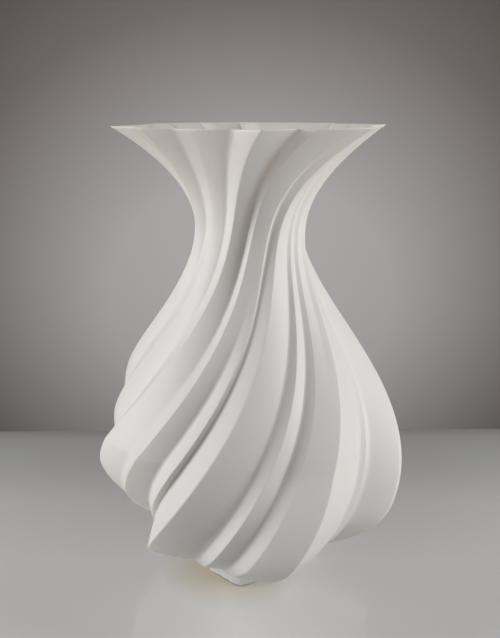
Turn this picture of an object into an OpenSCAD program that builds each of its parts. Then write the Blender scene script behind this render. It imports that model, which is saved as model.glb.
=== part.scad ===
// Twisted fluted vase, one piece of printed plastic.
// The section is a ring of sharp flute crests that repeats every half turn.
// It swells into a belly over a narrower base, closes to a neck, opens to a
// flared rim, and turns as it rises.
// Units are mm, +Z is up, the front is -Y, and the origin is the centre of
// the base on the table.

/* [Size] */
// Height from the table to the rim
height = 240; // [180:5:320]
// Flute reach at the base
base_radius = 30; // [27:1:40]
// Flute reach at the widest part of the belly
belly_radius = 92; // [80:1:104]
// Flute reach at the neck
neck_radius = 29.5; // [26:0.5:36]
// Flute reach at the rim
rim_radius = 66; // [50:1:80]

/* [Flutes] */
// Depth of the flutes, as a share of the drawn depth
flute_depth = 1; // [0.5:0.05:1.1]
// Turn of the section from the base to the rim, in degrees
twist = 100; // [50:1:130]

/* [Print] */
// Width of the printed wall, measured level
wall = 1.2; // [0.8:0.1:1.6]
// Thickness of the solid floor
floor_thickness = 2; // [1:0.5:4]

/* [Hidden] */

// The wall is one skin. It is drawn as four bands that meet on level faces.
// Share of the height at the top of the foot, the belly and the neck.
foot_top = 0.15;
belly_top = 0.52;
neck_top = 0.86;

// Rows of facets in each band, and the widest step between columns in degrees.
foot_rows = 7;
belly_rows = 13;
neck_rows = 11;
rim_rows = 5;
column_step = 5;

// One half turn of flutes, in order round the section.
// Each is [angle of the crest, reach of the crest at the foot, at the belly
// and at the rim, width of the steep flank just before it, depth of the
// valley at the start of that flank low on the vase and high on it].
// Angles are degrees from the front towards +X, measured at the rim.
// Reaches and depths are shares of the radius at that height.
flutes = [
    [5, 0.85, 0.95, 1.00, 12, 0.12, 0.12],
    [25, 0.80, 0.95, 1.00, 5, 0.02, 0.10],
    [40, 0.80, 0.95, 1.05, 6, 0.06, 0],
    [50, 1.00, 1.00, 1.05, 8, 0.04, 0.04],
    [70, 1.00, 0.95, 0.90, 4, 0.05, 0.04],
    [80, 1.05, 0.95, 0.95, 4, 0.04, 0.03],
    [90, 1.10, 1.00, 1.00, 4, 0, 0.02],
    [110, 0.90, 0.90, 0.85, 3, 0.03, 0.03],
    [130, 0.95, 0.95, 0.90, 14, 0.10, 0.10],
    [155, 0.85, 0.85, 0.80, 12, 0.06, 0.06]
];

// Height shares between which the crests change from the foot's reach to the
// belly's, and from the belly's to the rim's.
foot_change = [0.40, 0.25];
rim_change = [0.70, 1];
// Height shares between which the valleys change from the low depth to the high one.
depth_change = [0.50, 0.75];

// Share of the drawn depth that the valleys have at the table. They reach the
// whole of it at the belly.
depth_at_base = 0.3;

// Powers that bow the long slopes out and the flanks in.
slope_power = 0.9;
flank_power = 1.1;

// Height shares of the widest part of the belly and the narrowest part of the neck.
belly_at = 0.30;
neck_at = 0.80;

floor_top = floor_thickness / height;
flute_count = len(flutes);

// Value a share k of the way from a to b.
function blend(a, b, k) = a + (b - a) * k;

// Rises from 0 to 1 with level ends. The swell is the steeper of the two.
function ease(u) = u * u * (3 - 2 * u);
function swell(u) = u * u * u * (u * (6 * u - 15) + 10);

// Radius up the vase: upright beside the floor, a swell to the belly, an even
// draw to the neck, and a flare like a parabola to the rim.
function radius(t) =
    t < floor_top ? base_radius
    : t < belly_at ? blend(base_radius, belly_radius, swell(ramp(t, [floor_top, belly_at])))
    : t < neck_at ? blend(belly_radius, neck_radius, ease(ramp(t, [belly_at, neck_at])))
    : blend(neck_radius, rim_radius, pow(ramp(t, [neck_at, 1]), 2));

// Share of the twist still to go at height share t. The section turns at an
// even rate, which builds up from nothing over the foot.
function turn_to_go(t) =
    let (rate = 1 / (1 - foot_top / 2))
    t < foot_top ? 1 - rate * t * t / (2 * foot_top) : rate * (1 - t);

// 0 at the start of the span, 1 at its end, held outside it.
function ramp(t, span) = min(max((t - span[0]) / (span[1] - span[0]), 0), 1);

// Flute k, counted on round the section past the half turn.
function flute(k) = flutes[k % flute_count];
function flute_angle(k) = flute(k)[0] + 180 * floor(k / flute_count);
function flute_reach(k, t) =
    flute(k)[2]
    + (flute(k)[1] - flute(k)[2]) * ramp(t, foot_change)
    + (flute(k)[3] - flute(k)[2]) * ramp(t, rim_change);

function valley_depth(k, t) =
    flute_depth * blend(depth_at_base, 1, ramp(t, [0, belly_at]))
    * blend(flute(k)[5], flute(k)[6], ramp(t, depth_change));

// Columns from crest k, down the long slope to the valley and up the steep
// flank, to just short of crest k + 1.
// Each is [angle, k, share of the way to crest k + 1, share of the depth].
function flute_columns(k) =
    let (
        a0 = flute_angle(k),
        a2 = flute_angle(k + 1),
        a1 = a2 - flute(k + 1)[4],
        n = ceil((a1 - a0) / column_step)
    )
    concat(
        [
            for (i = [0 : n - 1])
                let (a = blend(a0, a1, i / n))
                [a, k, (a - a0) / (a2 - a0), 1 - pow(1 - i / n, slope_power)]
        ],
        [
            for (i = [0, 1])
                let (a = blend(a1, a2, i / 2))
                [a, k, (a - a0) / (a2 - a0), 1 - pow(i / 2, flank_power)]
        ]
    );

columns = [for (k = [0 : 2 * flute_count - 1]) each flute_columns(k)];
column_count = len(columns);

// Outline of the vase at height share t, as points [x, y].
function outline(t) =
    let (
        r = radius(t),
        turn = -twist * turn_to_go(t),
        reach = [for (k = [0 : 2 * flute_count]) flute_reach(k, t)],
        deep = [for (k = [0 : 2 * flute_count]) valley_depth(k, t)]
    )
    [
        for (c = columns)
            r * (blend(reach[c[1]], reach[c[1] + 1], c[2]) - deep[c[1] + 1] * c[3])
            * [sin(c[0] + turn), -cos(c[0] + turn)]
    ];

function left_normal(p, q) = let (d = (q - p) / norm(q - p)) [-d[1], d[0]];

// The outline moved inwards by the wall width.
function inset(points, width) =
    let (n = len(points))
    [for (i = [0 : n - 1])
        let (
            a = left_normal(points[(i + n - 1) % n], points[i]),
            b = left_normal(points[i], points[(i + 1) % n])
        )
        points[i] + (a + b) * width / (1 + a * b)];

function lift(points, z) = [for (p = points) [p[0], p[1], z]];

// Side faces between rows of points, seen from outside when out is true.
function side_faces(first, row_count, out) = [
    for (j = [0 : row_count - 2], i = [0 : column_count - 1])
        let (
            k = (i + 1) % column_count,
            a = first + j * column_count + i,
            b = first + j * column_count + k,
            c = a + column_count,
            d = b + column_count
        )
        each (out ? [[a, c, d], [a, d, b]] : [[a, d, c], [a, b, d]])
];

// Level ring of faces between the outer row and the inner row.
function ring_faces(outer, inner, up) = [
    for (i = [0 : column_count - 1])
        let (
            k = (i + 1) % column_count,
            a = outer + i,
            b = outer + k,
            c = inner + i,
            d = inner + k
        )
        each (up ? [[a, c, d], [a, d, b]] : [[a, d, c], [a, b, d]])
];

// One band of the wall, from height share t0 to t1.
module wall_band(t0, t1, rows) {
    shares = [for (j = [0 : rows]) blend(t0, t1, j / rows)];
    outer = [for (t = shares) each lift(outline(t), height * t)];
    inner = [for (t = shares) each lift(inset(outline(t), wall), height * t)];
    inner_start = len(outer);
    last = rows * column_count;
    polyhedron(
        points = concat(outer, inner),
        faces = concat(
            side_faces(0, rows + 1, true),
            side_faces(inner_start, rows + 1, false),
            ring_faces(0, inner_start, false),
            ring_faces(last, inner_start + last, true)
        ),
        convexity = 12
    );
}

module foot_wall() {
    color([0.88, 0.86, 0.80])
        wall_band(floor_top, foot_top, foot_rows);
}

module belly_wall() {
    color([0.93, 0.92, 0.88])
        wall_band(foot_top, belly_top, belly_rows);
}

module neck_wall() {
    color([0.90, 0.89, 0.85])
        wall_band(belly_top, neck_top, neck_rows);
}

module rim_flare() {
    color([0.95, 0.94, 0.91])
        wall_band(neck_top, 1, rim_rows);
}

module base_floor() {
    bottom = lift(outline(0), 0);
    top = lift(outline(floor_top), floor_thickness);
    n = column_count;
    color([0.90, 0.88, 0.80])
        polyhedron(
            points = concat(bottom, top),
            faces = concat(
                side_faces(0, 2, true),
                [[for (i = [0 : n - 1]) i]],
                [[for (i = [0 : n - 1]) 2 * n - 1 - i]]
            ),
            convexity = 6
        );
}

base_floor();
foot_wall();
belly_wall();
neck_wall();
rim_flare();
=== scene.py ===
"""White twisted fluted vase on a glossy pale table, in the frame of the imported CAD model."""
import math

import bpy
import numpy as np
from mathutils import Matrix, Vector


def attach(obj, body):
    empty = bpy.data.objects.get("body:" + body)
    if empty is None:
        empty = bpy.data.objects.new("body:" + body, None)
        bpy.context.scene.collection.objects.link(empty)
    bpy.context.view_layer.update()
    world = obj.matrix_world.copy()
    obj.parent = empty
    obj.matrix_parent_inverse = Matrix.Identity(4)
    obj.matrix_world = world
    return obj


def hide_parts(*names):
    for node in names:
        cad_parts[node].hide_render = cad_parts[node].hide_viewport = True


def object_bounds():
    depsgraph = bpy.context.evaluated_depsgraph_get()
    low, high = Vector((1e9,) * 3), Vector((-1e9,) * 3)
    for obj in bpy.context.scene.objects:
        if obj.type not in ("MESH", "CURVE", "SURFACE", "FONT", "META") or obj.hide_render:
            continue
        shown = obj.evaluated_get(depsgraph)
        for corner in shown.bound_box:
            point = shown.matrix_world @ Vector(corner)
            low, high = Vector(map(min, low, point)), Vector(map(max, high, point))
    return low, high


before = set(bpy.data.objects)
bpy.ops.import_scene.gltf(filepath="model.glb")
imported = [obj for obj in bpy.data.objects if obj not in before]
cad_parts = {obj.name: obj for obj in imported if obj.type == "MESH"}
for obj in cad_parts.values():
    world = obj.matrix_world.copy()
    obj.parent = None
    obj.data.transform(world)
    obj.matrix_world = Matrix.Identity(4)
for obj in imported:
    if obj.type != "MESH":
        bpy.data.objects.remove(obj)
CAD_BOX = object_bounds()
MM = 0.001

# ---------------------------------------------------------------- the vase's shape, as in the CAD
# Lengths are in mm and angles in degrees, until loft() makes the meshes in metres.
HEIGHT = 240.0
BASE_R, BELLY_R, NECK_R, RIM_R = 30.0, 92.0, 29.5, 66.0
TWIST = 100.0
WALL = 1.2
FLOOR = 2.0
SLOPE_POWER = 0.9
FLANK_POWER = 1.1
# Half a turn of flutes: crest angle, crest reach at the foot, belly and rim, flank width, and the
# depth of the valley before the flank, low and high on the vase.
FLUTES = [
    (5, 0.85, 0.95, 1.00, 12, 0.12, 0.12),
    (25, 0.80, 0.95, 1.00, 5, 0.02, 0.10),
    (40, 0.80, 0.95, 1.05, 6, 0.06, 0),
    (50, 1.00, 1.00, 1.05, 8, 0.04, 0.04),
    (70, 1.00, 0.95, 0.90, 4, 0.05, 0.04),
    (80, 1.05, 0.95, 0.95, 4, 0.04, 0.03),
    (90, 1.10, 1.00, 1.00, 4, 0, 0.02),
    (110, 0.90, 0.90, 0.85, 3, 0.03, 0.03),
    (130, 0.95, 0.95, 0.90, 14, 0.10, 0.10),
    (155, 0.85, 0.85, 0.80, 12, 0.06, 0.06),
]


def mix(a, b, k):
    return a + (b - a) * k


# Shares of the height: top of the foot, widest part of the belly, narrowest part of the neck, floor.
FOOT_TOP = 0.15
BELLY_AT = 0.30
NECK_AT = 0.80
FLOOR_TOP = FLOOR / HEIGHT
# Share of the valleys' depth that is left at the table.
DEPTH_AT_BASE = 0.3
# Height shares over which the crests and the valleys change from one value to the next.
FOOT_CHANGE = (0.40, 0.25)
RIM_CHANGE = (0.70, 1)
DEPTH_CHANGE = (0.50, 0.75)


def ramp(t, start, end):
    """0 at start, 1 at end, held outside."""
    return min(max((t - start) / (end - start), 0), 1)


def ease(u):
    """From 0 to 1 with level ends."""
    return u * u * (3 - 2 * u)


def swell(u):
    """From 0 to 1 with level ends, steeper than ease."""
    return u**3 * (u * (6 * u - 15) + 10)


def radius(t):
    """Upright beside the floor, a swell to the belly, a draw to the neck and a flare to the rim."""
    if t < FLOOR_TOP:
        return BASE_R
    if t < BELLY_AT:
        return mix(BASE_R, BELLY_R, swell(ramp(t, FLOOR_TOP, BELLY_AT)))
    if t < NECK_AT:
        return mix(BELLY_R, NECK_R, ease(ramp(t, BELLY_AT, NECK_AT)))
    return mix(NECK_R, RIM_R, ramp(t, NECK_AT, 1) ** 2)


def turn_to_go(t):
    """Share of the twist still to go: an even rate that builds up over the foot."""
    rate = 1 / (1 - FOOT_TOP / 2)
    return 1 - rate * t * t / (2 * FOOT_TOP) if t < FOOT_TOP else rate * (1 - t)


def crest_reach(k, t):
    """Reach of crest k at height share t, as a share of the radius there."""
    foot, belly, rim = FLUTES[k % len(FLUTES)][1:4]
    return belly + (foot - belly) * ramp(t, *FOOT_CHANGE) + (rim - belly) * ramp(t, *RIM_CHANGE)


def valley_depth(k, t):
    """Depth of the valley before crest k at height share t, as a share of the radius there."""
    low, high = FLUTES[k % len(FLUTES)][5:]
    return mix(DEPTH_AT_BASE, 1, ramp(t, 0, BELLY_AT)) * mix(low, high, ramp(t, *DEPTH_CHANGE))


# Power that crowds the columns towards the crests, and the columns on each slope and flank.
CROWDING = 1.5
SLOPE_STEPS = 15
FLANK_STEPS = 6


def section_columns():
    """Columns round the whole section, closer together near each crest.

    Each is (angle, number of the crest before it, share of the way to the next, share of the depth).
    """
    columns = []
    count = len(FLUTES)
    for k in range(2 * count):
        a0 = FLUTES[k % count][0] + 180 * (k // count)
        a2 = FLUTES[(k + 1) % count][0] + 180 * ((k + 1) // count)
        a1 = a2 - FLUTES[(k + 1) % count][4]
        for i in range(SLOPE_STEPS):
            t = (i / SLOPE_STEPS) ** CROWDING
            a = mix(a0, a1, t)
            columns.append((a, k, (a - a0) / (a2 - a0), 1 - (1 - t) ** SLOPE_POWER))
        for i in range(FLANK_STEPS):
            t = 1 - (1 - i / FLANK_STEPS) ** CROWDING
            a = mix(a1, a2, t)
            columns.append((a, k, (a - a0) / (a2 - a0), 1 - t**FLANK_POWER))
    return np.array(columns)


COLUMNS = section_columns()


def outline(t):
    """Outline of the vase at height share t, as an array of x, y in mm."""
    angle = np.radians(COLUMNS[:, 0] - TWIST * turn_to_go(t))
    reach = np.array([crest_reach(k, t) for k in range(2 * len(FLUTES) + 1)])
    before = COLUMNS[:, 1].astype(int)
    edge = mix(reach[before], reach[before + 1], COLUMNS[:, 2])
    depth = np.array([valley_depth(k, t) for k in range(2 * len(FLUTES) + 1)])[before + 1]
    r = radius(t) * (edge - depth * COLUMNS[:, 3])
    return np.stack([r * np.sin(angle), -r * np.cos(angle)], 1)


# Least bend factor, which keeps the inset short at the sharpest crests.
LEAST_BEND = 0.25


def inset(points, width):
    """The outline moved inwards by width."""
    edge = np.roll(points, -1, 0) - points
    edge /= np.linalg.norm(edge, axis=1)[:, None]
    after = np.stack([-edge[:, 1], edge[:, 0]], 1)
    before = np.roll(after, 1, 0)
    bend = 1 + (before * after).sum(1)
    return points + (before + after) * width / np.maximum(bend, LEAST_BEND)[:, None]


# ---------------------------------------------------------------- meshes


def loft(name, rings, close_first=False, close_last=False):
    """A surface through rings of equal length, as one smooth mesh object."""
    n = len(rings[0])
    verts = np.concatenate(rings) * MM
    faces = []
    for j in range(len(rings) - 1):
        a, b = j * n, (j + 1) * n
        for i in range(n):
            k = (i + 1) % n
            faces.append((a + i, a + k, b + k, b + i))
    if close_first:
        faces.append(tuple(range(n - 1, -1, -1)))
    if close_last:
        last = (len(rings) - 1) * n
        faces.append(tuple(range(last, last + n)))
    mesh = bpy.data.meshes.new(name)
    mesh.from_pydata(verts.tolist(), [], faces)
    mesh.validate()
    mesh.shade_smooth()
    obj = bpy.data.objects.new(name, mesh)
    bpy.context.scene.collection.objects.link(obj)
    return obj


def ring(points, z):
    """The outline points as a level ring at height z."""
    return np.column_stack([points, np.full(len(points), z)])


def fit_in_box(obj, low, high):
    """Draws the mesh in, by a fraction of a millimetre, so that it stays inside the CAD box."""
    xy = np.array([v.co[:] for v in obj.data.vertices])
    for axis in (0, 1):
        factor = min(1.0, high[axis] / xy[:, axis].max(), low[axis] / xy[:, axis].min())
        xy[:, axis] *= factor
    obj.data.vertices.foreach_set("co", xy.ravel())
    obj.data.update()


OUTER_ROWS = 260
INNER_ROWS = 130
# Height of the rounding at the rim, and how far into the wall its two top edges lie.
LIP = 0.3
LIP_EDGES = (0.25, 0.75)


def wall_rings():
    """Rings up the outside of the wall, over the rim, down the inside, and back to the first."""
    rings = []
    for j in range(OUTER_ROWS):
        t = mix(FLOOR_TOP, 1 - LIP / HEIGHT, j / (OUTER_ROWS - 1))
        rings.append(ring(outline(t), HEIGHT * t))
    for share in LIP_EDGES:
        rings.append(ring(inset(outline(1), WALL * share), HEIGHT))
    for j in range(INNER_ROWS):
        t = mix(1 - LIP / HEIGHT, FLOOR_TOP, j / (INNER_ROWS - 1))
        rings.append(ring(inset(outline(t), WALL), HEIGHT * t))
    rings.append(rings[0])
    return rings


WALL_NODES = [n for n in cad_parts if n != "base_floor"]
wall = loft("vase_wall", wall_rings())
floor_disc = loft(
    "vase_floor",
    [ring(outline(0), 0), ring(outline(FLOOR_TOP), FLOOR)],
    close_first=True,
    close_last=True,
)
for piece in (wall, floor_disc):
    fit_in_box(piece, CAD_BOX[0], CAD_BOX[1])
    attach(piece, "root")
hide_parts(*WALL_NODES)
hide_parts("base_floor")

# ---------------------------------------------------------------- materials


LAYER_HEIGHT = 0.3 * MM
LAYER_GROOVE = 0.04 * MM


def new_material(name):
    material = bpy.data.materials.new(name)
    material.use_nodes = True
    nodes, links = material.node_tree.nodes, material.node_tree.links
    return material, nodes, links, nodes["Principled BSDF"]


def fill_ramp(ramp, stops):
    """Sets a colour ramp's stops from (place, colour) pairs."""
    elements = ramp.color_ramp.elements
    elements[0].position, elements[1].position = stops[0][0], stops[-1][0]
    elements[0].color = (*stops[0][1], 1)
    elements[1].color = (*stops[-1][1], 1)
    for place, colour in stops[1:-1]:
        elements.new(place).color = (*colour, 1)


def printed_plastic():
    """White printed plastic: fine level layer lines, faint cloudiness, some light through the wall."""
    material, nodes, links, shader = new_material("printed_plastic")
    coords = nodes.new("ShaderNodeTexCoord")
    split = nodes.new("ShaderNodeSeparateXYZ")
    links.new(coords.outputs["Object"], split.inputs[0])
    turns = nodes.new("ShaderNodeMath")
    turns.operation = "MULTIPLY"
    turns.inputs[1].default_value = 2 * math.pi / LAYER_HEIGHT
    links.new(split.outputs["Z"], turns.inputs[0])
    wave = nodes.new("ShaderNodeMath")
    wave.operation = "SINE"
    links.new(turns.outputs[0], wave.inputs[0])
    bump = nodes.new("ShaderNodeBump")
    bump.inputs["Strength"].default_value = 0.12
    bump.inputs["Distance"].default_value = LAYER_GROOVE
    links.new(wave.outputs[0], bump.inputs["Height"])
    links.new(bump.outputs[0], shader.inputs["Normal"])

    cloud = nodes.new("ShaderNodeTexNoise")
    cloud.inputs["Scale"].default_value = 9.0
    cloud.inputs["Detail"].default_value = 3.0
    links.new(coords.outputs["Object"], cloud.inputs["Vector"])
    tint = nodes.new("ShaderNodeValToRGB")
    fill_ramp(tint, [(0.35, (0.86, 0.84, 0.815)), (0.65, (0.89, 0.875, 0.85))])
    links.new(cloud.outputs["Fac"], tint.inputs[0])
    links.new(tint.outputs[0], shader.inputs["Base Color"])

    shader.inputs["Roughness"].default_value = 0.45
    shader.inputs["IOR"].default_value = 1.46
    shader.inputs["Subsurface Weight"].default_value = 0.35
    shader.inputs["Subsurface Radius"].default_value = (1.0, 0.8, 0.5)
    shader.inputs["Subsurface Scale"].default_value = 0.003

    glow = nodes.new("ShaderNodeBsdfTranslucent")
    glow.inputs["Color"].default_value = (1.0, 0.76, 0.46, 1)
    blend = nodes.new("ShaderNodeMixShader")
    blend.inputs["Fac"].default_value = 0.18
    links.new(shader.outputs[0], blend.inputs[1])
    links.new(glow.outputs[0], blend.inputs[2])
    links.new(blend.outputs[0], nodes["Material Output"].inputs["Surface"])
    return material


plastic = printed_plastic()
for piece in (wall, floor_disc):
    piece.data.materials.append(plastic)

# ---------------------------------------------------------------- table and backdrop
# Metres from here on.
TABLE_BACK = 0.147
TABLE_HALF = 1.2
TABLE_FRONT = -1.2
TABLE_THICK = 0.03
BACKDROP_Y = 1.1
BACKDROP_HALF = 2.5
BACKDROP_THICK = 0.01
BACKDROP_BOTTOM, BACKDROP_TOP = -1.5, 2.0
# The painted light and shade on the table runs from its back edge to here, in front of the vase.
PAINTED_LIGHT_FRONT = -0.12
# The painted shadow on the table under the vase, warm as if lit through the plastic: its radius, and
# its offset in radii.
PAINTED_SHADOW_RADIUS = 0.042
PAINTED_SHADOW_OFFSET = (0.26, 0.19, 0)


def slab(name, x0, x1, y0, y1, z0, z1):
    """A plain box for the stage."""
    corners = [(x, y, z) for z in (z0, z1) for y in (y0, y1) for x in (x0, x1)]
    sides = [(0, 2, 3, 1), (4, 5, 7, 6), (0, 1, 5, 4), (2, 6, 7, 3), (0, 4, 6, 2), (1, 3, 7, 5)]
    mesh = bpy.data.meshes.new(name)
    mesh.from_pydata(corners, [], sides)
    obj = bpy.data.objects.new(name, mesh)
    bpy.context.scene.collection.objects.link(obj)
    return obj


table = slab("table", -TABLE_HALF, TABLE_HALF, TABLE_FRONT, TABLE_BACK, -TABLE_THICK, 0)
backdrop = slab(
    "backdrop",
    -BACKDROP_HALF,
    BACKDROP_HALF,
    BACKDROP_Y,
    BACKDROP_Y + BACKDROP_THICK,
    BACKDROP_BOTTOM,
    BACKDROP_TOP,
)


def table_material():
    """Glossy pale top, with painted light and shade from back to front and a painted warm shadow under
    the vase.
    """
    material, nodes, links, shader = new_material("table_top")
    coords = nodes.new("ShaderNodeTexCoord")
    split = nodes.new("ShaderNodeSeparateXYZ")
    along = nodes.new("ShaderNodeMapRange")
    along.inputs["From Min"].default_value = TABLE_BACK
    along.inputs["From Max"].default_value = PAINTED_LIGHT_FRONT
    # Painted light and shade: dark at the back edge, lightest near the vase, a little darker towards
    # the front.
    ramp = nodes.new("ShaderNodeValToRGB")
    stops = [(0, 0.26), (0.05, 0.36), (0.37, 0.63), (0.59, 0.68), (0.78, 0.63), (1, 0.59)]
    fill_ramp(ramp, [(place, (grey, grey, grey * 0.99)) for place, grey in stops])
    links.new(coords.outputs["Object"], split.inputs[0])
    links.new(split.outputs["Y"], along.inputs["Value"])
    links.new(along.outputs[0], ramp.inputs[0])

    # Painted warm shadow under the vase: darkest at its centre, fading out over its radius.
    under = nodes.new("ShaderNodeMapping")
    under.inputs["Location"].default_value = PAINTED_SHADOW_OFFSET
    under.inputs["Scale"].default_value = (1 / PAINTED_SHADOW_RADIUS, 1 / PAINTED_SHADOW_RADIUS, 0)
    patch = nodes.new("ShaderNodeTexGradient")
    patch.gradient_type = "SPHERICAL"
    shade = nodes.new("ShaderNodeMixRGB")
    shade.inputs["Color2"].default_value = (0.40, 0.30, 0.14, 1)
    links.new(coords.outputs["Object"], under.inputs["Vector"])
    links.new(under.outputs[0], patch.inputs["Vector"])
    links.new(patch.outputs["Fac"], shade.inputs["Fac"])
    links.new(ramp.outputs[0], shade.inputs["Color1"])
    links.new(shade.outputs[0], shader.inputs["Base Color"])
    shader.inputs["Roughness"].default_value = 0.06
    shader.inputs["IOR"].default_value = 1.6
    return material


def backdrop_material():
    """Grey paper, lighter in a soft round patch behind the vase: a painted pool of light."""
    material, nodes, links, shader = new_material("backdrop_grey")
    coords = nodes.new("ShaderNodeTexCoord")
    place = nodes.new("ShaderNodeMapping")
    place.inputs["Location"].default_value = (0.0, 0.0, 0.20)
    place.inputs["Scale"].default_value = (1 / 1.05, 0.0, 1 / 0.9)
    patch = nodes.new("ShaderNodeTexGradient")
    patch.gradient_type = "SPHERICAL"
    # Painted light: bright at the centre behind the vase, dark towards the edges.
    ramp = nodes.new("ShaderNodeValToRGB")
    fill_ramp(
        ramp,
        [
            (0, (0.135, 0.108, 0.096)),
            (0.31, (0.345, 0.308, 0.296)),
            (0.69, (0.88, 0.835, 0.845)),
            (1, (0.97, 0.92, 0.93)),
        ],
    )
    links.new(coords.outputs["Object"], place.inputs["Vector"])
    links.new(place.outputs[0], patch.inputs["Vector"])
    links.new(patch.outputs["Fac"], ramp.inputs[0])
    links.new(ramp.outputs[0], shader.inputs["Base Color"])
    shader.inputs["Roughness"].default_value = 0.9
    return material


table.data.materials.append(table_material())
backdrop.data.materials.append(backdrop_material())

# ---------------------------------------------------------------- lights


SOFTBOX_X = 0.75
SOFTBOX_Y = -0.14
SOFTBOX_Z = 0.42
SOFTBOX_AIM = (0, -0.02, 0.13)
SOFTBOX_WIDTH, SOFTBOX_HEIGHT = 0.4, 0.7
SOFTBOX_WATTS = 5.7
WORLD_COLOUR = (1.0, 0.985, 0.965, 1)
WORLD_STRENGTH = 0.17


def softbox(name, place):
    light = bpy.data.lights.new(name, "AREA")
    light.shape = "RECTANGLE"
    light.size, light.size_y = SOFTBOX_WIDTH, SOFTBOX_HEIGHT
    light.energy = SOFTBOX_WATTS
    obj = bpy.data.objects.new(name, light)
    obj.location = place
    obj.rotation_euler = (Vector(SOFTBOX_AIM) - Vector(place)).to_track_quat("-Z", "Y").to_euler()
    bpy.context.scene.collection.objects.link(obj)


softbox("softbox_left", (-SOFTBOX_X, SOFTBOX_Y, SOFTBOX_Z))
softbox("softbox_right", (SOFTBOX_X, SOFTBOX_Y, SOFTBOX_Z))

world = bpy.data.worlds.new("studio")
bpy.context.scene.world = world
world.use_nodes = True
background = world.node_tree.nodes["Background"]
background.inputs["Color"].default_value = WORLD_COLOUR
background.inputs["Strength"].default_value = WORLD_STRENGTH

# ---------------------------------------------------------------- camera
CAMERA_BACK = 1.348 * HEIGHT * MM
CAMERA_UP = 1.038 * HEIGHT * MM
CAMERA_RIGHT = 1.0 * MM
PITCH_DEG = 18.2
ROLL_DEG = 0.35
SENSOR_MM = 36
LENS_MM = 36.7

camera_data = bpy.data.cameras.new("camera")
camera_data.sensor_width = SENSOR_MM
camera_data.lens = LENS_MM
camera = bpy.data.objects.new("camera", camera_data)
camera.location = (CAMERA_RIGHT, -CAMERA_BACK, CAMERA_UP)
camera.rotation_euler = (math.radians(90 - PITCH_DEG), math.radians(ROLL_DEG), 0)
bpy.context.scene.collection.objects.link(camera)
bpy.context.scene.camera = camera
bpy.context.scene.view_settings.view_transform = "Standard"
